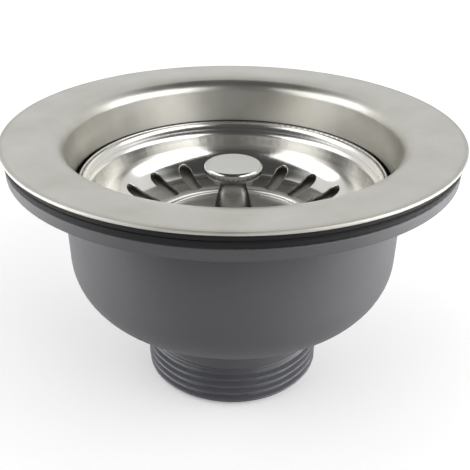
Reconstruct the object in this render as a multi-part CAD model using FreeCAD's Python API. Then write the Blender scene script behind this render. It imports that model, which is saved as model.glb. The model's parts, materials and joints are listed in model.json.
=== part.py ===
import FreeCAD, Part
import math
import os

# Basket strainer waste for a kitchen sink, standing on its outlet end.
# Millimetres, +Z up, the axis of the waste on Z and the outlet end at Z = 0.
# Depths are measured down from the top of the steel rim.

# Steel flange: rim with a flat land and a soft slope to the lip, tapered dish with a shelf that the
# basket nests in, well with the seat of the plug, and sump
flange_sheet = 0.9
rim_land = 7.51              # flat part of the rim
rim_edge_round = 0.35
rim_slope = 22.0             # degrees from level
rim_slope_bend = 13.0
rim_slope_width = 4.16       # from the line of the dish wall to the flat, in the plane of the rim
mouth_radius = 42.8          # where the line of the dish wall meets the plane of the rim
lip_bend = 3.6
dish_taper = 10.0            # degrees from upright
dish_bend = 6.0              # between the dish wall and its shelf
dish_shelf_gap = 0.6         # between the shelf and the basket above it
dish_shelf_edge_bend = 1.5
dish_well_gap = 1.0          # between the well and the basket inside it
dish_well_draft = 0.4
seat_depth = 33.9
seat_bend = 1.2
seat_width = 4.2             # from the well to the sump
sump_draft = 0.8
sump_edge_bend = 1.5
sump_corner_bend = 3.0
drain_hole_radius = 3.0
drain_hole_count = 8
drain_hole_inset = 6.2       # centres of the holes from the sump wall

# Seals between the steel rim and the moulded flange
flange_seal_thickness = 1.55
sink_seal_thickness = 1.65
seal_inset = 0.8             # outer edge of the seals inside the rim
seal_slope_gap = 0.5         # inner edge of the seals outside the slope
seal_edge_round = 0.45

# Moulded body: flange, cup, neck and threaded outlet
body_flange_inset = 1.0      # edge of the moulded flange inside the rim
body_flange_thickness = 2.9
body_flange_round = 0.5
body_root_round = 3.5
dish_gap = 0.3               # between the steel dish and the cup around it
cup_mouth_wall = 0.78        # wall beside the dish, just under the flange
cup_wall = 2.2
cup_draft = 1.2              # degrees
cup_corner = 15.7
cup_floor_slope = 30.0       # degrees from level
mouth_chamfer = 0.6
neck_drop = 7.5              # top of the neck below the sump
neck_length = 5.5
neck_step = 0.5              # neck inside the thread
neck_round = 1.5

# Outlet, sized over the crests of its 1 1/2 inch parallel pipe thread
thread_radius = 23.9
thread_length = 11.8
thread_pitch = 25.4 / 11
thread_depth = 1.35
thread_crest_width = 0.3
thread_root_width = 0.51
thread_first_crest = 1.2     # first crest below the top of the thread
outlet_wall = 3.9
outlet_bore_chamfer = 0.4

# Hub on a cross of ribs in the outlet, with its threaded insert
hub_radius = 9.5
hub_length = 15.0
rib_count = 4
rib_thickness = 3.0
rib_drop = 5.3               # rib tops below the top of the hub
rib_height = 9.2
insert_radius = 7.0
insert_flange_radius = 8.4
insert_flange_thickness = 1.5

# Hollow fixing screw and the washer under its head
screw_radius = 5.0
screw_length = 17.0
screw_tip_chamfer = 0.8
screw_hole_gap = 0.2
screw_head_radius = 8.0
screw_head_height = 2.2
screw_head_round = 0.5
screw_slot_width = 2.0
screw_slot_depth = 1.2
socket_spare = 3.4           # socket below the tip of the stem
socket_gap = 0.08            # running fit of the stem in the socket
screw_seal_thickness = 1.0
screw_seal_radius = 8.3

# Strainer basket
basket_sheet = 0.6
basket_height = 15.95        # from the floor to the rim
basket_rim_gap = 1.2         # between the rim and the dish wall
basket_rim_land = 0.35
basket_rim_bend = 0.5
basket_skirt_slope = 65.0    # degrees from level
basket_skirt_depth = 2.1
basket_ledge_width = 0.9     # narrow ledge between the skirt and the wall
basket_ledge_slope = 16.0    # degrees from level
basket_ledge_bend = 0.5
basket_side_width = 17.54    # from the rim to the well
basket_wall_slope = 73.0     # degrees from level
basket_shelf_slope = 12.0    # degrees from level
basket_shelf_bend = 10.0
basket_well_depth = 1.15
basket_well_draft = 0.3
basket_well_edge_bend = 0.9
basket_well_corner = 0.45
slot_count = 20
slot_width = 3.6
slot_well_gap = 1.3          # slot ends from the well
slot_wall_gap = 0.7          # slot ends from the foot of the steep wall
slot_edge_round = 0.2        # on the upper face of the sheet

# Knob and post
knob_radius = 7.5
knob_rise = 18.2             # top of the knob above the basket floor
knob_thickness = 3.0
knob_top_round = 0.9
knob_under_round = 1.3
post_radius = 3.2
post_flare_radius = 6.6
post_flare_height = 12.2
post_flare_bend = 12.0
post_foot_height = 0.6
spigot_radius = 2.0
spigot_length = 1.8
stem_radius = 3.0
stem_hole_gap = 0.15
stem_engagement = 9.6        # stem inside the screw
stem_tip_chamfer = 0.6

# Plug under the basket
carrier_inset = 2.0          # edge of the carrier inside the well
carrier_thickness = 2.1
carrier_round = 0.6
plug_lap = 2.7               # plug over the seat round the sump
plug_thickness = 2.95
plug_bevel = 2.0
plug_seat_gap = 0.05
retainer_inset = 4.8         # edge of the retainer inside the sump
retainer_thickness = 1.5
retainer_round = 0.4
nut_across_flats = 10.0
nut_height = 5.0
nut_gap = 0.35               # between the nut and the head of the screw
ring_section = 1.5
ring_rise = 3.0              # middle of the ring above the tip of the stem
ring_gap = 0.03              # between the ring and the socket

# Depths of the basket, counted up from the seat
plug_under_depth = seat_depth - plug_seat_gap
plug_top_depth = plug_under_depth - plug_thickness
basket_under_depth = plug_top_depth - carrier_thickness
basket_floor_depth = basket_under_depth - basket_sheet
basket_well_edge_depth = basket_floor_depth - basket_well_depth
basket_rim_depth = basket_floor_depth - basket_height
knob_top_depth = basket_floor_depth - knob_rise

# Depths of the plug, the screw and the body, counted down from the seat
retainer_under_depth = plug_under_depth + retainer_thickness
nut_under_depth = retainer_under_depth + nut_height
head_top_depth = nut_under_depth + nut_gap
head_under_depth = head_top_depth + screw_head_height
sump_depth = head_under_depth + screw_seal_thickness
hub_top_depth = sump_depth + flange_sheet
neck_depth = hub_top_depth + neck_drop
overall_height = neck_depth + neck_length + thread_length

CENTRE = FreeCAD.Vector(0, 0, 0)
UP = FreeCAD.Vector(0, 0, 1)


def level(depth):
    """Height of a depth below the top of the rim."""
    return overall_height - depth


def slope_rise(degrees, run):
    return math.tan(math.radians(degrees)) * run


def heading(start, end):
    run = math.hypot(end[0] - start[0], end[1] - start[1])
    return (end[0] - start[0]) / run, (end[1] - start[1]) / run


def shifted(point, direction, distance):
    return point[0] + direction[0] * distance, point[1] + direction[1] * distance


def section_point(point):
    return FreeCAD.Vector(point[0], 0, point[1])


def rounded_edges(points, radii):
    """Lines and tangent arcs along a chain of (radius, height) points, one radius per inner corner."""
    edges = []
    here = points[0]
    for before, corner, after, radius in zip(points, points[1:], points[2:], radii):
        into = heading(before, corner)
        out = heading(corner, after)
        turn = math.acos(max(-1.0, min(1.0, into[0] * out[0] + into[1] * out[1])))
        reach = radius * math.tan(turn / 2)
        start = shifted(corner, into, -reach)
        edges.append(Part.makeLine(section_point(here), section_point(start)))
        here = start
        if radius > 0:
            inward = heading((0, 0), (out[0] - into[0], out[1] - into[1]))
            middle = shifted(corner, inward, radius / math.cos(turn / 2) - radius)
            here = shifted(corner, out, reach)
            bend = Part.Arc(section_point(start), section_point(middle), section_point(here))
            edges.append(bend.toShape())
    edges.append(Part.makeLine(section_point(here), section_point(points[-1])))
    return edges


def turned(corners):
    """Solid of revolution from a closed loop of (radius, height, rounding) corners; the first stays sharp."""
    points = [(corner[0], corner[1]) for corner in corners]
    points.append(points[0])
    radii = [corner[2] for corner in corners[1:]]
    face = Part.Face(Part.Wire(rounded_edges(points, radii)))
    return face.revolve(CENTRE, UP, 360)


def crossing(start_a, along_a, start_b, along_b):
    """Where two lines of the section meet."""
    spread = along_a[0] * along_b[1] - along_a[1] * along_b[0]
    gap = (start_b[0] - start_a[0], start_b[1] - start_a[1])
    return shifted(start_a, along_a, (gap[0] * along_b[1] - gap[1] * along_b[0]) / spread)


def under_side(points, bends, thickness):
    """The chain and bends on the other face of a sheet whose visible face runs inwards along points."""
    courses = [heading(a, b) for a, b in zip(points, points[1:])]
    below = [(-course[1], course[0]) for course in courses]
    chain = [shifted(points[0], below[0], thickness)]
    other_bends = []
    for index, bend in enumerate(bends):
        first = shifted(points[index], below[index], thickness)
        second = shifted(points[index + 1], below[index + 1], thickness)
        chain.append(crossing(first, courses[index], second, courses[index + 1]))
        left_turn = courses[index][0] * courses[index + 1][1] - courses[index][1] * courses[index + 1][0] > 0
        other_bends.append(max(0.0, bend - thickness) if left_turn else bend + thickness)
    chain.append(shifted(points[-1], below[-1], thickness))
    return chain, other_bends


def pressed(points, bends, thickness):
    """Round sheet pressing: the visible face follows points from the rim to the centre hole."""
    chain, other_bends = under_side(points, bends, thickness)
    edges = rounded_edges(points, bends)
    edges.append(Part.makeLine(section_point(points[-1]), section_point(chain[-1])))
    edges.extend(rounded_edges(chain[::-1], other_bends[::-1]))
    edges.append(Part.makeLine(section_point(chain[0]), section_point(points[0])))
    return Part.Face(Part.Wire(edges)).revolve(CENTRE, UP, 360)


def post_at(radius, bottom, top):
    return Part.makeCylinder(radius, top - bottom, FreeCAD.Vector(0, 0, bottom))


def ring_of(shape, count, first_angle):
    copies = []
    for index in range(count):
        copy = shape.copy()
        copy.rotate(CENTRE, UP, first_angle + 360.0 * index / count)
        copies.append(copy)
    return copies


# Levels that several pieces share
flange_under = level(flange_sheet)
sink_seal_top = flange_under - flange_seal_thickness
body_top = sink_seal_top - sink_seal_thickness
body_flange_under = body_top - body_flange_thickness
sump_floor = level(sump_depth)
hub_top = level(hub_top_depth)
hub_bottom = hub_top - hub_length
basket_floor = level(basket_floor_depth)
stem_tip = level(head_top_depth + stem_engagement)
knob_under = level(knob_top_depth) - knob_thickness


def dish_radius(depth):
    """Radius of the visible dish wall at a depth."""
    return mouth_radius - slope_rise(dish_taper, depth)


def clear_of_dish(depth):
    """Radius that keeps the gap round the outside of the dish wall at a depth."""
    return dish_radius(depth) + (flange_sheet + dish_gap) / math.cos(math.radians(dish_taper))


# Radii that several pieces share
slope_start_radius = dish_radius(0) + rim_slope_width
flat_start_radius = slope_start_radius + rim_slope_bend * math.tan(math.radians(rim_slope) / 2)
rim_radius = flat_start_radius + rim_land
seal_outer_radius = rim_radius - seal_inset
seal_inner_radius = flat_start_radius + seal_slope_gap
body_flange_radius = rim_radius - body_flange_inset
cup_radius = clear_of_dish(overall_height - body_flange_under) + cup_mouth_wall
neck_radius = thread_radius - neck_step
thread_root_radius = thread_radius - thread_depth
outlet_bore_radius = thread_radius - outlet_wall
stem_hole_radius = stem_radius + stem_hole_gap
socket_radius = stem_radius + socket_gap
basket_rim_radius = dish_radius(basket_rim_depth) - basket_rim_gap
basket_well_radius = basket_rim_radius - basket_side_width
dish_well_radius = basket_well_radius + basket_sheet + dish_well_gap
sump_radius = dish_well_radius - dish_well_draft - seat_width


def lip_corner():
    """Where the slope of the rim would meet the dish wall."""
    slope_course = (1, slope_rise(rim_slope, 1))
    wall_course = (slope_rise(dish_taper, 1), 1)
    return crossing((slope_start_radius, level(0)), slope_course, (dish_radius(0), level(0)), wall_course)


def dish_shelf():
    """Outer and inner ends of the shelf, which runs below the shelf of the basket and parallel to it."""
    drop = (basket_sheet + dish_shelf_gap) / math.cos(math.radians(basket_shelf_slope))
    start = (basket_well_radius, level(basket_well_edge_depth) - drop)
    course = (1, slope_rise(basket_shelf_slope, 1))
    wall_course = (slope_rise(dish_taper, 1), 1)
    outer = crossing(start, course, (dish_radius(0), level(0)), wall_course)
    inner = crossing(start, course, (dish_well_radius, 0), (0, 1))
    return outer, inner


def make_sink_flange():
    path = [
        (rim_radius, level(0)),
        (slope_start_radius, level(0)),
        lip_corner(),
        *dish_shelf(),
        (dish_well_radius - dish_well_draft, level(seat_depth)),
        (sump_radius, level(seat_depth)),
        (sump_radius - sump_draft, sump_floor),
        (screw_radius + screw_hole_gap, sump_floor),
    ]
    bends = [rim_slope_bend, lip_bend, dish_bend, dish_shelf_edge_bend]
    bends += [seat_bend, sump_edge_bend, sump_corner_bend]
    shape = pressed(path, bends, flange_sheet)
    drill = post_at(drain_hole_radius, sump_floor - 2 * flange_sheet, sump_floor + flange_sheet)
    drill.translate(FreeCAD.Vector(sump_radius - drain_hole_inset, 0, 0))
    shape = shape.cut(Part.makeCompound(ring_of(drill, drain_hole_count, 180.0 / drain_hole_count)))
    rim_edges = [edge for edge in shape.Edges if edge.BoundBox.XMax > rim_radius - rim_edge_round
                 and edge.BoundBox.ZLength < rim_edge_round / 10]
    return shape.makeFillet(rim_edge_round, rim_edges)


def make_seal(top, thickness):
    return turned([
        (seal_inner_radius, top, 0),
        (seal_outer_radius, top, seal_edge_round),
        (seal_outer_radius, top - thickness, seal_edge_round),
        (seal_inner_radius, top - thickness, 0),
    ])


def cup_line(inset):
    """Corners of the cup's section at a distance inside its outer face: wall and floor, floor and neck."""
    draft = math.radians(cup_draft)
    slope = math.radians(cup_floor_slope)
    wall_start = (cup_radius - inset / math.cos(draft), body_flange_under)
    wall_course = (-math.sin(draft), -math.cos(draft))
    floor_start = (neck_radius, level(neck_depth) + inset / math.cos(slope))
    floor_course = (math.cos(slope), math.sin(slope))
    return wall_start, wall_course, floor_start, floor_course


def thread_corners():
    """Corners of the outlet's outer face from the neck down: ridges of the thread's section and pitch."""
    half_crest = thread_crest_width / 2
    half_foot = (thread_pitch - thread_root_width) / 2
    top_crest = thread_length - thread_first_crest
    ridge_count = math.floor((top_crest - half_foot) / thread_pitch) + 1
    corners = [
        (neck_radius, thread_length + neck_step, 0),
        (thread_root_radius, thread_length, 0),
    ]
    for index in range(ridge_count):
        crest = top_crest - thread_pitch * index
        corners.append((thread_root_radius, crest + half_foot, 0))
        corners.append((thread_radius, crest + half_crest, 0))
        corners.append((thread_radius, crest - half_crest, 0))
        corners.append((thread_root_radius, crest - half_foot, 0))
    corners.append((thread_root_radius, 0, 0))
    return corners


def make_waste_body():
    outer_wall, outer_course, outer_floor, floor_course = cup_line(0)
    inner_wall, inner_course, inner_floor, inner_floor_course = cup_line(cup_wall)
    outer_corner = crossing(outer_wall, outer_course, outer_floor, floor_course)
    inner_corner = crossing(inner_wall, inner_course, inner_floor, inner_floor_course)
    throat = crossing(inner_floor, inner_floor_course, (outlet_bore_radius, 0), (0, 1))
    taper = math.radians(dish_taper)
    dish_start = (clear_of_dish(0), level(0))
    dish_course = (-math.sin(taper), -math.cos(taper))
    shoulder = crossing(dish_start, dish_course, inner_wall, inner_course)
    mouth = crossing(dish_start, dish_course, (0, body_top - mouth_chamfer), (1, 0))
    body = turned([
        (mouth[0] + mouth_chamfer, body_top, 0),
        (body_flange_radius, body_top, body_flange_round),
        (body_flange_radius, body_flange_under, body_flange_round),
        (outer_wall[0], outer_wall[1], body_root_round),
        (outer_corner[0], outer_corner[1], cup_corner),
        (neck_radius, level(neck_depth), neck_round),
        *thread_corners(),
        (outlet_bore_radius + outlet_bore_chamfer, 0, 0),
        (outlet_bore_radius, outlet_bore_chamfer, 0),
        (throat[0], throat[1], 0),
        (inner_corner[0], inner_corner[1], cup_corner - cup_wall),
        (shoulder[0], shoulder[1], 0),
        (mouth[0], mouth[1], 0),
    ])
    hub = post_at(hub_radius, hub_bottom, hub_top)
    rib_top = hub_top - rib_drop
    rib_reach = outlet_bore_radius + outlet_wall / 2
    rib = Part.makeBox(rib_reach, rib_thickness, rib_height)
    rib.translate(FreeCAD.Vector(0, -rib_thickness / 2, rib_top - rib_height))
    body = body.fuse([hub] + ring_of(rib, rib_count, 180.0 / rib_count))
    body = body.cut(post_at(insert_radius, hub_bottom - rib_height, hub_top + rib_drop))
    return body.removeSplitter()


def make_screw_insert():
    flange_bottom = hub_bottom - insert_flange_thickness
    return turned([
        (screw_radius, hub_top, 0),
        (insert_radius, hub_top, 0),
        (insert_radius, hub_bottom, 0),
        (insert_flange_radius, hub_bottom, 0),
        (insert_flange_radius, flange_bottom, 0),
        (screw_radius, flange_bottom, 0),
    ])


def make_screw_seal():
    return turned([
        (screw_radius, sump_floor + screw_seal_thickness, 0),
        (screw_seal_radius, sump_floor + screw_seal_thickness, 0),
        (screw_seal_radius, sump_floor, 0),
        (screw_radius, sump_floor, 0),
    ])


def make_fixing_screw():
    head_under = level(head_under_depth)
    head_top = level(head_top_depth)
    tip = head_under - screw_length
    socket_floor = stem_tip - socket_spare
    screw = turned([
        (0, tip, 0),
        (0, socket_floor, 0),
        (socket_radius, socket_floor, 0),
        (socket_radius, head_top, 0),
        (screw_head_radius, head_top, screw_head_round),
        (screw_head_radius, head_under, 0),
        (screw_radius, head_under, 0),
        (screw_radius, tip + screw_tip_chamfer, 0),
        (screw_radius - screw_tip_chamfer, tip, 0),
    ])
    slot = Part.makeBox(2 * screw_head_radius, screw_slot_width, screw_slot_depth)
    slot.translate(FreeCAD.Vector(-screw_head_radius, -screw_slot_width / 2, head_top - screw_slot_depth))
    return screw.cut(slot)


def basket_ledge():
    """Outer and inner ends of the narrow ledge inside the rim of the basket."""
    skirt_run = basket_skirt_depth / slope_rise(basket_skirt_slope, 1)
    outer = (basket_rim_radius - basket_rim_land - skirt_run, level(basket_rim_depth + basket_skirt_depth))
    inner = (outer[0] - basket_ledge_width, outer[1] - slope_rise(basket_ledge_slope, basket_ledge_width))
    return outer, inner


def basket_corner():
    """Where the steep wall of the basket would meet its sloping shelf."""
    wall_start = basket_ledge()[1]
    wall_course = (1, slope_rise(basket_wall_slope, 1))
    shelf_start = (basket_well_radius, level(basket_well_edge_depth))
    shelf_course = (1, slope_rise(basket_shelf_slope, 1))
    return crossing(wall_start, wall_course, shelf_start, shelf_course)


def slot_rims(pressing):
    """Edges where the upright walls of the slots meet the upper face of the sheet."""
    nearly_upright = math.sin(math.radians(1))
    rims = []
    for edge in pressing.Edges:
        middle = edge.valueAt((edge.FirstParameter + edge.LastParameter) / 2)
        rises = []
        for face in pressing.ancestorsOfType(edge, Part.Face):
            rises.append(face.normalAt(*face.Surface.parameter(middle)).z)
        on_shelf = basket_well_radius < math.hypot(middle.x, middle.y) < basket_corner()[0]
        if on_shelf and len(rises) == 2 and min(map(abs, rises)) < nearly_upright < max(rises):
            rims.append(edge)
    return rims


def make_strainer_basket():
    path = [
        (basket_rim_radius, level(basket_rim_depth)),
        (basket_rim_radius - basket_rim_land, level(basket_rim_depth)),
        *basket_ledge(),
        basket_corner(),
        (basket_well_radius, level(basket_well_edge_depth)),
        (basket_well_radius - basket_well_draft, basket_floor),
        (stem_hole_radius, basket_floor),
    ]
    bends = [basket_rim_bend, basket_ledge_bend, basket_ledge_bend]
    bends += [basket_shelf_bend, basket_well_edge_bend, basket_well_corner]
    shape = pressed(path, bends, basket_sheet)
    first_end = basket_well_radius + slot_well_gap + slot_width / 2
    last_end = basket_corner()[0] - slot_wall_gap - slot_width / 2
    straight = Part.makeBox(last_end - first_end, slot_width, basket_height)
    straight.translate(FreeCAD.Vector(first_end, -slot_width / 2, basket_floor))
    ends = []
    for radius in (first_end, last_end):
        end = post_at(slot_width / 2, basket_floor, basket_floor + basket_height)
        end.translate(FreeCAD.Vector(radius, 0, 0))
        ends.append(end)
    slot = straight.fuse(ends).removeSplitter()
    pressing = shape.cut(Part.makeCompound(ring_of(slot, slot_count, 180.0 / slot_count)))
    return pressing.makeFillet(slot_edge_round, slot_rims(pressing))


def make_basket_post():
    floor = basket_floor
    groove_root = socket_radius - ring_gap - ring_section
    ring_height = stem_tip + ring_rise
    half_groove = ring_section / 2
    return turned([
        (0, knob_under + spigot_length, 0),
        (spigot_radius, knob_under + spigot_length, 0),
        (spigot_radius, knob_under, 0),
        (post_radius, knob_under, 0),
        (post_radius, floor + post_flare_height + post_foot_height, post_flare_bend),
        (post_flare_radius, floor + post_foot_height, 0),
        (post_flare_radius, floor, 0),
        (stem_radius, floor, 0),
        (stem_radius, ring_height + half_groove, 0),
        (groove_root, ring_height + half_groove, 0),
        (groove_root, ring_height - half_groove, 0),
        (stem_radius, ring_height - half_groove, 0),
        (stem_radius, stem_tip + stem_tip_chamfer, 0),
        (stem_radius - stem_tip_chamfer, stem_tip, 0),
        (0, stem_tip, 0),
    ])


def make_basket_knob():
    top = level(knob_top_depth)
    return turned([
        (0, top, 0),
        (knob_radius, top, knob_top_round),
        (knob_radius, knob_under, knob_under_round),
        (spigot_radius, knob_under, 0),
        (spigot_radius, knob_under + spigot_length, 0),
        (0, knob_under + spigot_length, 0),
    ])


def make_stem_washer(radius, top, thickness, rounding):
    """Round plate with a clearance hole for the stem."""
    return turned([
        (stem_hole_radius, top, 0),
        (radius, top, rounding),
        (radius, top - thickness, rounding),
        (stem_hole_radius, top - thickness, 0),
    ])


def make_seal_carrier():
    radius = basket_well_radius - carrier_inset
    return make_stem_washer(radius, level(basket_under_depth), carrier_thickness, carrier_round)


def make_seal_retainer():
    radius = sump_radius - retainer_inset
    return make_stem_washer(radius, level(plug_under_depth), retainer_thickness, retainer_round)


def make_plug_seal():
    top = level(plug_top_depth)
    plug_radius = sump_radius + plug_lap
    return turned([
        (stem_hole_radius, top, 0),
        (plug_radius - plug_bevel, top, 0),
        (plug_radius, top - plug_bevel, 0),
        (plug_radius, top - plug_thickness, 0),
        (stem_hole_radius, top - plug_thickness, 0),
    ])


def make_stem_nut():
    corner_radius = nut_across_flats / 2 / math.cos(math.pi / 6)
    nut_top = level(retainer_under_depth)
    nut_under = level(nut_under_depth)
    corner = FreeCAD.Vector(corner_radius, 0, nut_under)
    corners = []
    for index in range(6):
        turn = FreeCAD.Rotation(UP, 60 * index)
        corners.append(turn.multVec(corner))
    prism = Part.Face(Part.makePolygon(corners + corners[:1])).extrude(UP * nut_height)
    chamfer = corner_radius - nut_across_flats / 2
    barrel = turned([
        (stem_radius, nut_top, 0),
        (corner_radius - chamfer, nut_top, 0),
        (corner_radius, nut_top - chamfer, 0),
        (corner_radius, nut_under + chamfer, 0),
        (corner_radius - chamfer, nut_under, 0),
        (stem_radius, nut_under, 0),
    ])
    return prism.common(barrel)


def make_stem_ring():
    section_radius = ring_section / 2
    middle_radius = socket_radius - ring_gap - section_radius
    return Part.makeTorus(middle_radius, section_radius, FreeCAD.Vector(0, 0, stem_tip + ring_rise))


pieces = {
    "sink_flange": make_sink_flange(),
    "flange_seal": make_seal(flange_under, flange_seal_thickness),
    "sink_seal": make_seal(sink_seal_top, sink_seal_thickness),
    "waste_body": make_waste_body(),
    "screw_insert": make_screw_insert(),
    "screw_seal": make_screw_seal(),
    "fixing_screw": make_fixing_screw(),
    "strainer_basket": make_strainer_basket(),
    "basket_post": make_basket_post(),
    "basket_knob": make_basket_knob(),
    "seal_carrier": make_seal_carrier(),
    "plug_seal": make_plug_seal(),
    "seal_retainer": make_seal_retainer(),
    "stem_nut": make_stem_nut(),
    "stem_ring": make_stem_ring(),
}

os.makedirs("parts", exist_ok=True)
for name, shape in pieces.items():
    shape.exportStep(os.path.join("parts", name + ".step"))
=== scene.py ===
import bmesh
import bpy
import json
import math
from mathutils import Matrix, Vector


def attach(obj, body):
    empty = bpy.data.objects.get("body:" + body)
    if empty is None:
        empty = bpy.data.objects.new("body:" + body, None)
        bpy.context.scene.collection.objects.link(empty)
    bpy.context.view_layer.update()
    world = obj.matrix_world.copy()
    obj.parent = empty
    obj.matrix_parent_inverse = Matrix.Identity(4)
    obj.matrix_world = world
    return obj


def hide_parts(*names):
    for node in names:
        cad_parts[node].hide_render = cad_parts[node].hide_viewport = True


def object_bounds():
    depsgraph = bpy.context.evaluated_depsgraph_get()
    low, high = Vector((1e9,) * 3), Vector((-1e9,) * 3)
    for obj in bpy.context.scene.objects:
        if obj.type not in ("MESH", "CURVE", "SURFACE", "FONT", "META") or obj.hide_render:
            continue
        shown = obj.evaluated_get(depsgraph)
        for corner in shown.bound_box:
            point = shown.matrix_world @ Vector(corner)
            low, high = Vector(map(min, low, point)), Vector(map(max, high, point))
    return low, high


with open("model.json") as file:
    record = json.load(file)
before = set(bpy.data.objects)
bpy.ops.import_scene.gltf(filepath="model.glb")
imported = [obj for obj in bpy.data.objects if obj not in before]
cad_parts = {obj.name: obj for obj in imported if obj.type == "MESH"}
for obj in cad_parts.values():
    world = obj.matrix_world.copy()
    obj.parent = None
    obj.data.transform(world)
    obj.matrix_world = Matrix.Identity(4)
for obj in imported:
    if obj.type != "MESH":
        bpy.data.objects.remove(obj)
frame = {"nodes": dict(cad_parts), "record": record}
nodes = frame["nodes"]
cad_low, cad_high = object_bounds()
scene = bpy.context.scene

# The photograph's camera, found from the rim, the outlet and the thread: metres and degrees
IMAGE_SIZE = 470
FOCAL_PIXELS = 740.0
SENSOR_MM = 36.0
CAMERA_DISTANCE = 0.17657
CAMERA_RISE = 0.06321           # above the rim
CAMERA_PITCH = 28.043
CAMERA_ROLL = 0.528
CAMERA_YAW = -0.187
CAMERA_CLIP = 0.005

# Brushed metal
BRUSH_RELIEF = 0.00002
BRUSH_DETAIL = 3.0
PATCH_SCALE = 90.0              # per metre
PATCH_DETAIL = 4.0
PATCH_GLOSS = 0.02
# Painted shadow: the dark colour, and the share of its width that is fully dark, of a line on the dish that
# stands for the shade in the gap round the basket
GAP_SHADOW_SHADE = (0.03, 0.03, 0.03)
GAP_SHADOW_CORE = 0.7                 # share of the painted gap shadow's width that is fully dark

# Rougher rings: a radius where the change starts, one where it is whole, and the change of roughness
RIM_EDGE = (0.0556, 0.0564, 0.2)
DISH_SHELF = (0.0396, 0.0386, 0.25)
BASKET_WELL = (0.0238, 0.0222, 0.20)
BASKET_RIM = (0.0335, 0.0358, 0.10)

BASKET_GAP_SHADOW = (0.0560, 0.0573)  # heights of a painted shadow on the dish wall, a dark line that stands for the shade in the gap beside the basket's edge

# Moulded plastic and rubber
GRAIN_RELIEF = 0.00004
GRAIN_DETAIL = 3.0
GRAIN_ROUGHNESS = 0.6
CLOUD_SCALE = 60.0              # per metre
CLOUD_DETAIL = 3.0
CLOUD_SHARE = 0.4               # of the change of colour, the rest being grain
OUTLET_SHADE_AND_SKIN = (0.0135, 0.020)   # heights between which the outlet's smooth skin and its painted shade, a darker colour for the shadow under the cup, fade out
# Painted shade: the outlet's colour is multiplied by this for the shadow under the cup
OUTLET_PAINTED_SHADE = (0.9, 0.91, 0.95)
SMOOTH_GLOSS = 0.3
SMOOTH_GRAIN = 0.2

# Outlet thread: 1 1/2 inch parallel pipe thread, 11 turns to the inch, in metres
THREAD_PITCH = 0.0254 / 11
THREAD_DEPTH = 0.00135
THREAD_FIRST_CREST = 0.0590     # below the rim, at the front
THREAD_TOP = 0.0118             # above the end of the outlet
THREAD_CREST_FLAT = 0.06        # share of a turn
THREAD_ROOT_FLAT = 0.30
NECK_STEP = 0.0005
END_CHAMFER = 0.0012
CORE_CLEARANCE = 0.0003         # from the root of the thread in to the core
CORE_MARGIN = 0.0001            # from the top of the core up to the neck
SLEEVE_LAP = 0.0002             # of the sleeve into the core
SLEEVE_LIFT = 0.0003            # of the sleeve's inner edge above the end of the outlet
SLEEVE_STEPS_AROUND = 288
SLEEVE_ROWS_PER_TURN = 18

# Rim of the basket, in metres from its top and its edge
SKIRT_DEPTH = 0.0021
SKIRT_RUN = 0.00098
LEDGE_WIDTH = 0.0009
LEDGE_DROP = 0.00026
WALL_RUN = 0.3057               # run of the wall for each unit of depth
WALL_JOIN = 0.0050              # where the smooth curve meets the wall
CURVE_START = 0.07              # run of the curve for each unit of depth, at the rim
CURVE_MIDDLE = 0.0021           # depth at which the curve is flattest
CURVE_REACH = 0.0019            # flat part, to each side of the middle
CURVE_ROWS = 30

# Studio, with angles in degrees seen from the object
FLOOR_REACH = 4.0
FLOOR_WHITE = 0.85
FLOOR_BOUNCE = 0.12
FLOOR_ROUGHNESS = 0.9
FLOOR_GLOW = (0.2, 0.7)         # near the object and far from it
FLOOR_GLOW_REACH = (0.1, 0.6)
SOFTBOX_DISTANCE = 0.7
STRIP_DISTANCE = 0.2
STRIP_LENGTH = 0.2
STRIP_HEIGHT = 0.93             # share of the height of the rim
SWEEP_TOP = (50.0, 66.0)
SWEEP_FRONT = (-0.25, 0.12)
SWEEP_FOOT = (14.0, 34.0)
SWEEP_FOOT_LEVEL = 0.9
ROOM_LEVEL = (0.08, 0.30)
ROOM_HAZE = (2.0, 32.0)

# Places of the colour sockets on a Mix node
MIX_FIRST = 6
MIX_SECOND = 7
MIX_RESULT = 2


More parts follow.
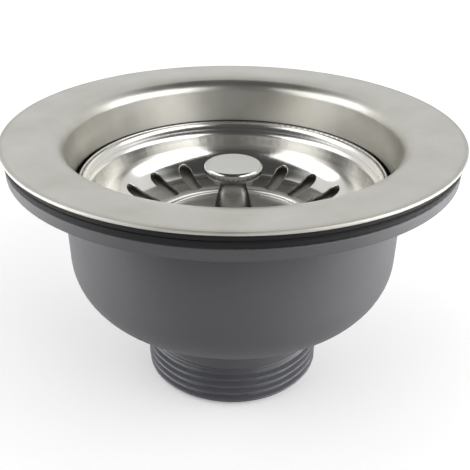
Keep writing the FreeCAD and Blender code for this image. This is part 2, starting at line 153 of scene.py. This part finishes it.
class Graph:
    """A material's node tree, with short calls to add and join nodes."""

    def __init__(self, name):
        self.material = bpy.data.materials.new(name)
        self.material.use_nodes = True
        self.tree = self.material.node_tree
        self.shader = self.tree.nodes["Principled BSDF"]

    def add(self, kind, inputs=(), **settings):
        node = self.tree.nodes.new(kind)
        for key, value in settings.items():
            setattr(node, key, value)
        for key, value in dict(inputs).items():
            self.put(node, key, value)
        return node

    def put(self, node, key, value):
        if isinstance(value, bpy.types.NodeSocket):
            self.tree.links.new(value, node.inputs[key])
        else:
            node.inputs[key].default_value = value

    def math(self, operation, first, second=0.0):
        node = self.add("ShaderNodeMath", {0: first, 1: second}, operation=operation)
        return node.outputs[0]

    def position(self):
        """Place in the row frame, in metres, moving with the piece."""
        return self.add("ShaderNodeTexCoord").outputs["Object"]

    def noise(self, vector, scale, detail=2.0, roughness=0.5):
        node = self.add("ShaderNodeTexNoise",
                        {"Vector": vector, "Scale": scale, "Detail": detail, "Roughness": roughness})
        return node.outputs["Fac"]

    def spread(self, value, low, high, from_low=0.3, from_high=0.7):
        """Maps a value onto a range of numbers: the middle of a noise, if no other range is given."""
        node = self.add("ShaderNodeMapRange", {"Value": value, "From Min": from_low, "From Max": from_high,
                                               "To Min": low, "To Max": high})
        return node.outputs["Result"]

    def blend(self, share, first, second, blend_type="MIX"):
        """Blends two colours, from the first at 0 to the second at 1."""
        node = self.add("ShaderNodeMix", {"Factor": share}, data_type="RGBA", blend_type=blend_type)
        for socket, colour in ((MIX_FIRST, first), (MIX_SECOND, second)):
            self.put(node, socket, (*colour, 1.0) if isinstance(colour, tuple) else colour)
        return node.outputs[MIX_RESULT]

    def height(self, vector):
        return self.add("ShaderNodeSeparateXYZ", {0: vector}).outputs[2]

    def radius(self, vector):
        """Distance from the axis."""
        parts = self.add("ShaderNodeSeparateXYZ", {0: vector})
        across = self.math("MULTIPLY", parts.outputs[0], parts.outputs[0])
        along = self.math("MULTIPLY", parts.outputs[1], parts.outputs[1])
        return self.math("SQRT", self.math("ADD", across, along))

    def turned_lines(self, vector, per_metre):
        """Noise that runs round the axis, as a lathe or a polishing wheel leaves it."""
        ring = self.add("ShaderNodeCombineXYZ", {0: self.radius(vector), 1: self.height(vector)})
        return self.noise(ring.outputs[0], per_metre, BRUSH_DETAIL)

    def bump(self, height, strength, distance):
        node = self.add("ShaderNodeBump", {"Height": height, "Strength": strength, "Distance": distance})
        self.put(self.shader, "Normal", node.outputs[0])

    def surface(self, **values):
        for key, value in values.items():
            self.put(self.shader, key.replace("_", " "), value)
        return self.material


def metal(name, dark, light, rough, lines, strength, satin=(), gap_shadow=None):
    """Brushed metal: satin lists rougher rings, and the last argument gives the heights of a painted shadow,
    a dark line round it for the shade in a gap.
    """
    graph = Graph(name)
    place = graph.position()
    patches = graph.spread(graph.noise(place, PATCH_SCALE, PATCH_DETAIL), 0.0, 1.0)
    brushing = graph.turned_lines(place, lines)
    graph.bump(brushing, strength, BRUSH_RELIEF)
    gloss = graph.math("ADD", graph.spread(brushing, rough[0], rough[1]),
                       graph.spread(patches, -PATCH_GLOSS, PATCH_GLOSS, 0.0, 1.0))
    for start, whole, change in satin:
        gloss = graph.math("ADD", gloss, graph.spread(graph.radius(place), 0.0, change, start, whole))
    colour = graph.blend(patches, dark, light)
    # Painted shadow: a band of the colour turns dark where the gap beside the basket's edge lies in shade
    if gap_shadow:
        middle = (gap_shadow[0] + gap_shadow[1]) / 2
        reach = (gap_shadow[1] - gap_shadow[0]) / 2
        away = graph.math("ABSOLUTE", graph.math("SUBTRACT", graph.height(place), middle))
        gap_shadow_mask = graph.spread(away, 1.0, 0.0, reach * GAP_SHADOW_CORE, reach)
        colour = graph.blend(gap_shadow_mask, colour, GAP_SHADOW_SHADE)
    return graph.surface(Base_Color=colour, Metallic=1.0, Roughness=gloss)


def moulded(name, dark, light, rough, grain, strength, shine=0.5, shaded_smooth_below=None):
    """Grained plastic or rubber, which may fade between two heights into a smoother skin with painted shade,
    a darker colour for the shadow under the cup.
    """
    graph = Graph(name)
    place = graph.position()
    speckle = graph.noise(place, grain, GRAIN_DETAIL, GRAIN_ROUGHNESS)
    cloud = graph.noise(place, CLOUD_SCALE, CLOUD_DETAIL)
    shade = graph.math("ADD", graph.spread(speckle, 0.0, 1.0 - CLOUD_SHARE),
                       graph.spread(cloud, 0.0, CLOUD_SHARE))
    graph.put(graph.shader, "Specular IOR Level", shine)
    colour = graph.blend(shade, dark, light)
    gloss = graph.spread(speckle, rough[0], rough[1])
    if shaded_smooth_below:
        smooth = graph.spread(graph.height(place), 1.0, 0.0, shaded_smooth_below[0], shaded_smooth_below[1])
        # Painted shade: darker colour towards the outlet for the shadow under the cup; the gloss and grain
        # changes below are the smoother skin
        colour = graph.blend(smooth, colour, OUTLET_PAINTED_SHADE, "MULTIPLY")
        gloss = graph.math("SUBTRACT", gloss, graph.math("MULTIPLY", smooth, SMOOTH_GLOSS))
        strength = graph.spread(smooth, strength, strength * SMOOTH_GRAIN, 0.0, 1.0)
    graph.bump(speckle, strength, GRAIN_RELIEF)
    return graph.surface(Base_Color=colour, Metallic=0.0, Roughness=gloss)


MATERIALS = {
    # satin_steel carries the painted shadow of the gap beside the basket's edge
    "satin_steel": metal("satin_steel", dark=(0.485, 0.476, 0.43), light=(0.575, 0.566, 0.53),
                         rough=(0.30, 0.38), lines=7000.0, strength=0.07,
                         satin=(RIM_EDGE, DISH_SHELF), gap_shadow=BASKET_GAP_SHADOW),
    "polished_steel": metal("polished_steel", dark=(0.60, 0.59, 0.56), light=(0.66, 0.65, 0.62),
                            rough=(0.08, 0.16), lines=3600.0, strength=0.12,
                            satin=(BASKET_WELL, BASKET_RIM)),
    "bright_steel": metal("bright_steel", dark=(0.48, 0.478, 0.455), light=(0.55, 0.548, 0.525),
                          rough=(0.12, 0.20), lines=4200.0, strength=0.12),
    # Painted shade: a darker copy of bright_steel for the post, standing in for the dark reflection it shows
    "post_painted_shade": metal("post_painted_shade", dark=(0.24, 0.238, 0.225), light=(0.30, 0.298, 0.285),
                         rough=(0.14, 0.22), lines=4200.0, strength=0.12),
    "black_rubber": moulded("black_rubber", dark=(0.006, 0.006, 0.007), light=(0.016, 0.016, 0.017),
                            rough=(0.55, 0.75), grain=2600.0, strength=0.3, shine=0.3),
    # grey_plastic carries painted shade on the outlet, under the cup
    "grey_plastic": moulded("grey_plastic", dark=(0.105, 0.105, 0.112), light=(0.14, 0.14, 0.148),
                            rough=(0.42, 0.56), grain=3000.0, strength=0.25, shaded_smooth_below=OUTLET_SHADE_AND_SKIN),
    "dark_plastic": moulded("dark_plastic", dark=(0.04, 0.04, 0.042), light=(0.065, 0.065, 0.07),
                            rough=(0.45, 0.6), grain=3000.0, strength=0.25),
    "brass": metal("brass", dark=(0.62, 0.44, 0.19), light=(0.72, 0.53, 0.25),
                   rough=(0.22, 0.34), lines=4200.0, strength=0.2),
}

FINISHES = {"basket_post": "post_painted_shade"}    # pieces that differ from the rest of their slot: the post takes a darker copy of its steel, painted shade for its dark reflection


def dress_pieces():
    """Gives each CAD piece the material of its slot."""
    for entry in frame["record"]["subparts"]:
        piece = nodes[entry["node"]]
        piece.data.materials.clear()
        piece.data.materials.append(MATERIALS[FINISHES.get(entry["node"], entry["material_slot"])])
        for polygon in piece.data.polygons:
            polygon.use_smooth = True


def ramp_between(value, low, high):
    return min(1.0, max(0.0, (value - low) / (high - low)))


def add_piece(mesh, name, material):
    """Makes a smooth piece of the scene from a mesh."""
    for face in mesh.faces:
        face.smooth = True
    data = bpy.data.meshes.new(name)
    mesh.to_mesh(data)
    mesh.free()
    data.materials.append(MATERIALS[material])
    piece = bpy.data.objects.new(name, data)
    scene.collection.objects.link(piece)
    return piece


def thread_radius(angle, height, crest):
    """Radius of the right-hand thread at an angle and a height above the end of the outlet."""
    first = cad_high.z - THREAD_FIRST_CREST
    turns = (height - first) / THREAD_PITCH - (angle + math.pi / 2) / (2 * math.pi)
    away = abs(turns - round(turns))
    flank = ramp_between(away, THREAD_CREST_FLAT / 2, 0.5 - THREAD_ROOT_FLAT / 2)
    groove = flank * flank * (3 - 2 * flank)
    run_out = ramp_between(height, THREAD_TOP, THREAD_TOP - THREAD_PITCH)
    outside = min(crest, crest - END_CHAMFER + height)
    outside -= NECK_STEP * ramp_between(height, THREAD_TOP - NECK_STEP, THREAD_TOP + NECK_STEP)
    return min(outside, crest - THREAD_DEPTH * groove * run_out - NECK_STEP * (1 - run_out) * groove)


def add_threaded_body():
    """The moulded body with its outlet cut back to a core, and a sleeve that carries the thread."""
    crest = frame["record"]["mounts"][0]["dims"]["r_mm"] / 1000
    core = crest - THREAD_DEPTH - CORE_CLEARANCE
    top = THREAD_TOP + NECK_STEP
    mesh = bmesh.new()
    mesh.from_mesh(nodes["waste_body"].data)
    for vertex in mesh.verts:
        reach = vertex.co.xy.length
        if vertex.co.z < top - CORE_MARGIN and reach > core:
            vertex.co.xy *= core / reach

    angles = [2 * math.pi * step / SLEEVE_STEPS_AROUND for step in range(SLEEVE_STEPS_AROUND)]
    rows = round(top / THREAD_PITCH * SLEEVE_ROWS_PER_TURN)
    sections = [[(core - SLEEVE_LAP, SLEEVE_LIFT)] * SLEEVE_STEPS_AROUND]
    for row in range(rows + 1):
        height = top * row / rows
        sections.append([(thread_radius(angle, height, crest), height) for angle in angles])
    sections.append([(crest - 2 * NECK_STEP, top + NECK_STEP)] * SLEEVE_STEPS_AROUND)
    sections.append([(core - SLEEVE_LAP, top + NECK_STEP)] * SLEEVE_STEPS_AROUND)

    rings = [[mesh.verts.new((radius * math.cos(angle), radius * math.sin(angle), height))
              for angle, (radius, height) in zip(angles, section)] for section in sections]
    for lower, upper in zip(rings, rings[1:] + rings[:1]):
        for step in range(SLEEVE_STEPS_AROUND):
            after = (step + 1) % SLEEVE_STEPS_AROUND
            mesh.faces.new((lower[step], lower[after], upper[after], upper[step]))

    body = add_piece(mesh, "threaded_body", "grey_plastic")
    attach(body, "waste")
    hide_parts("waste_body")


def skirt_run(depth):
    """Run of the solid's skirt, ledge and wall down to a depth below the rim."""
    if depth < SKIRT_DEPTH:
        return SKIRT_RUN * depth / SKIRT_DEPTH
    ledge = ramp_between(depth, SKIRT_DEPTH, SKIRT_DEPTH + LEDGE_DROP)
    wall = max(0.0, depth - SKIRT_DEPTH - LEDGE_DROP)
    return SKIRT_RUN + LEDGE_WIDTH * ledge + WALL_RUN * wall


def curve_run(depth):
    """Run of one smooth curve from the rim to the wall, flattest in the middle."""
    base = CURVE_START * depth + (WALL_RUN - CURVE_START) * depth * depth / (2 * WALL_JOIN)
    whole = CURVE_START * WALL_JOIN + (WALL_RUN - CURVE_START) * WALL_JOIN / 2
    share = ramp_between(depth, CURVE_MIDDLE - CURVE_REACH, CURVE_MIDDLE + CURVE_REACH)
    swell = share - math.sin(2 * math.pi * share) / (2 * math.pi)
    return base + (skirt_run(WALL_JOIN) - whole) * swell


def add_hollowed_basket():
    """The basket with its skirt and ledge drawn into one smooth curve, as a press leaves them."""
    mesh = bmesh.new()
    mesh.from_mesh(nodes["strainer_basket"].data)
    top = max(vertex.co.z for vertex in mesh.verts)
    for row in range(1, CURVE_ROWS):
        bmesh.ops.bisect_plane(mesh, geom=mesh.verts[:] + mesh.edges[:] + mesh.faces[:],
                               plane_co=(0, 0, top - WALL_JOIN * row / CURVE_ROWS), plane_no=(0, 0, 1))
    for vertex in mesh.verts:
        depth = top - vertex.co.z
        if depth < WALL_JOIN:
            reach = vertex.co.xy.length
            vertex.co.xy *= (reach + skirt_run(depth) - curve_run(depth)) / reach

    basket = add_piece(mesh, "hollowed_basket", "polished_steel")
    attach(basket, "basket")
    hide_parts("strainer_basket")


def add_camera():
    data = bpy.data.cameras.new("photo_camera")
    data.sensor_width = SENSOR_MM
    data.lens = FOCAL_PIXELS / IMAGE_SIZE * SENSOR_MM
    data.clip_start = CAMERA_CLIP
    camera = bpy.data.objects.new("photo_camera", data)
    scene.collection.objects.link(camera)
    turn = Matrix.Rotation(math.radians(CAMERA_YAW), 4, "Z")
    tilt = Matrix.Rotation(math.radians(90 - CAMERA_PITCH), 4, "X")
    roll = Matrix.Rotation(math.radians(CAMERA_ROLL), 4, "Z")
    place = Matrix.Translation(Vector((0, -CAMERA_DISTANCE, cad_high.z + CAMERA_RISE)))
    camera.matrix_world = place @ turn @ tilt @ roll
    scene.camera = camera


def add_floor():
    """White table: the camera and the steel see it white, and it throws less light back up at the plastic."""
    data = bpy.data.meshes.new("floor")
    corners = [(-FLOOR_REACH, -FLOOR_REACH), (FLOOR_REACH, -FLOOR_REACH),
               (FLOOR_REACH, FLOOR_REACH), (-FLOOR_REACH, FLOOR_REACH)]
    data.from_pydata([(x, y, cad_low.z) for x, y in corners], [], [(0, 1, 2, 3)])
    floor = bpy.data.objects.new("floor", data)
    scene.collection.objects.link(floor)
    graph = Graph("floor_white")
    rays = graph.add("ShaderNodeLightPath").outputs
    seen = graph.math("MAXIMUM", rays["Is Camera Ray"], rays["Is Glossy Ray"])
    shade = graph.blend(seen, (FLOOR_BOUNCE,) * 3, (FLOOR_WHITE,) * 3)
    graph.surface(Base_Color=shade, Roughness=FLOOR_ROUGHNESS, Emission_Color=(1.0, 1.0, 1.0, 1.0))
    graph.put(graph.shader, "Specular IOR Level", 0.0)
    away = graph.radius(graph.position())
    glow = graph.spread(away, FLOOR_GLOW[0], FLOOR_GLOW[1], FLOOR_GLOW_REACH[0], FLOOR_GLOW_REACH[1])
    graph.put(graph.shader, "Emission Strength", graph.math("MULTIPLY", rays["Is Camera Ray"], glow))
    data.materials.append(graph.material)


def direction(azimuth, elevation):
    """A direction from the object: azimuth 0 is away from the camera, and 90 to the right."""
    across = math.radians(azimuth)
    up = math.radians(elevation)
    return Vector((math.sin(across) * math.cos(up), math.cos(across) * math.cos(up), math.sin(up)))


def add_lamp(name, place, aim, width, height, radiance):
    """A rectangle of light that faces the object: aim points from the object to the lamp."""
    data = bpy.data.lights.new(name, "AREA")
    data.shape = "RECTANGLE"
    data.size = width
    data.size_y = height
    data.energy = radiance * math.pi * width * height
    lamp = bpy.data.objects.new(name, data)
    lamp.visible_camera = False
    lamp.location = place
    lamp.rotation_euler = aim.to_track_quat("Z", "Y").to_euler()
    scene.collection.objects.link(lamp)


def add_softbox(name, azimuth, elevation, half_width, half_height, radiance):
    """A soft light that fills a window of the given half angles, in degrees, seen from the basket."""
    width = 2 * SOFTBOX_DISTANCE * math.tan(math.radians(half_width))
    height = 2 * SOFTBOX_DISTANCE * math.tan(math.radians(half_height))
    aim = direction(azimuth, elevation)
    add_lamp(name, Vector((0, 0, cad_high.z)) + aim * SOFTBOX_DISTANCE, aim, width, height, radiance)


def add_strip(name, azimuth, radiance):
    """A low light that stands beside the cup, under the level of the rim, so that no steel faces it."""
    height = (cad_high.z - cad_low.z) * STRIP_HEIGHT
    aim = direction(azimuth, 0.0)
    place = Vector((0, 0, cad_low.z + height / 2)) + aim * STRIP_DISTANCE
    add_lamp(name, place, aim, STRIP_LENGTH, height, radiance)


def add_world():
    """White sweep behind and beside the object, and a dim room above it and in front."""
    world = bpy.data.worlds.new("studio")
    world.use_nodes = True
    scene.world = world
    tree = world.node_tree
    back = tree.nodes["Background"]
    back.inputs["Color"].default_value = (1.0, 1.0, 1.0, 1.0)

    def node(kind, operation=None, *values):
        made = tree.nodes.new(kind)
        if operation:
            made.operation = operation
        for index, value in enumerate(values):
            if isinstance(value, bpy.types.NodeSocket):
                tree.links.new(value, made.inputs[index])
            else:
                made.inputs[index].default_value = value
        return made

    def maths(operation, first, second):
        return node("ShaderNodeMath", operation, first, second).outputs[0]

    def between(share, first, second):
        """The first value at a share of 0, and the second at 1."""
        return node("ShaderNodeMapRange", None, share, 0.0, 1.0, first, second).outputs[0]

    def ramp(value, low, high):
        """1 below low, easing down to 0 at high."""
        made = node("ShaderNodeMapRange", None, value, low, high, 1.0, 0.0)
        made.interpolation_type = "SMOOTHSTEP"
        return made.outputs[0]

    def below(angles):
        """1 below the first angle of elevation, easing down to 0 at the second."""
        low, high = (math.sin(math.radians(angle)) for angle in angles)
        return ramp(parts.outputs[2], low, high)

    parts = node("ShaderNodeSeparateXYZ", None, node("ShaderNodeTexCoord").outputs["Generated"])
    rays = node("ShaderNodeLightPath").outputs
    towards_camera = maths("MULTIPLY", parts.outputs[1], -1.0)
    behind = ramp(towards_camera, SWEEP_FRONT[0], SWEEP_FRONT[1])
    sweep = maths("MULTIPLY", below(SWEEP_TOP), behind)
    shown = maths("MAXIMUM", sweep, rays["Is Camera Ray"])
    mirrored = maths("MULTIPLY", below(ROOM_HAZE), rays["Is Glossy Ray"])
    room = between(mirrored, ROOM_LEVEL[0], ROOM_LEVEL[1])
    unseen = maths("SUBTRACT", 1.0, rays["Is Camera Ray"])
    white = between(maths("MULTIPLY", below(SWEEP_FOOT), unseen), 1.0, SWEEP_FOOT_LEVEL)
    tree.links.new(between(shown, room, white), back.inputs["Strength"])


dress_pieces()
add_threaded_body()
add_hollowed_basket()
add_camera()
add_floor()
add_world()
add_softbox("left_softbox", azimuth=-102.0, elevation=27.5, half_width=31.0, half_height=20.5, radiance=2.4)
add_softbox("right_softbox", azimuth=114.0, elevation=27.5, half_width=34.0, half_height=20.5, radiance=2.9)
add_strip("left_strip", azimuth=-95.0, radiance=3.7)
add_strip("right_strip", azimuth=97.0, radiance=5.0)
scene.view_settings.view_transform = "Standard"
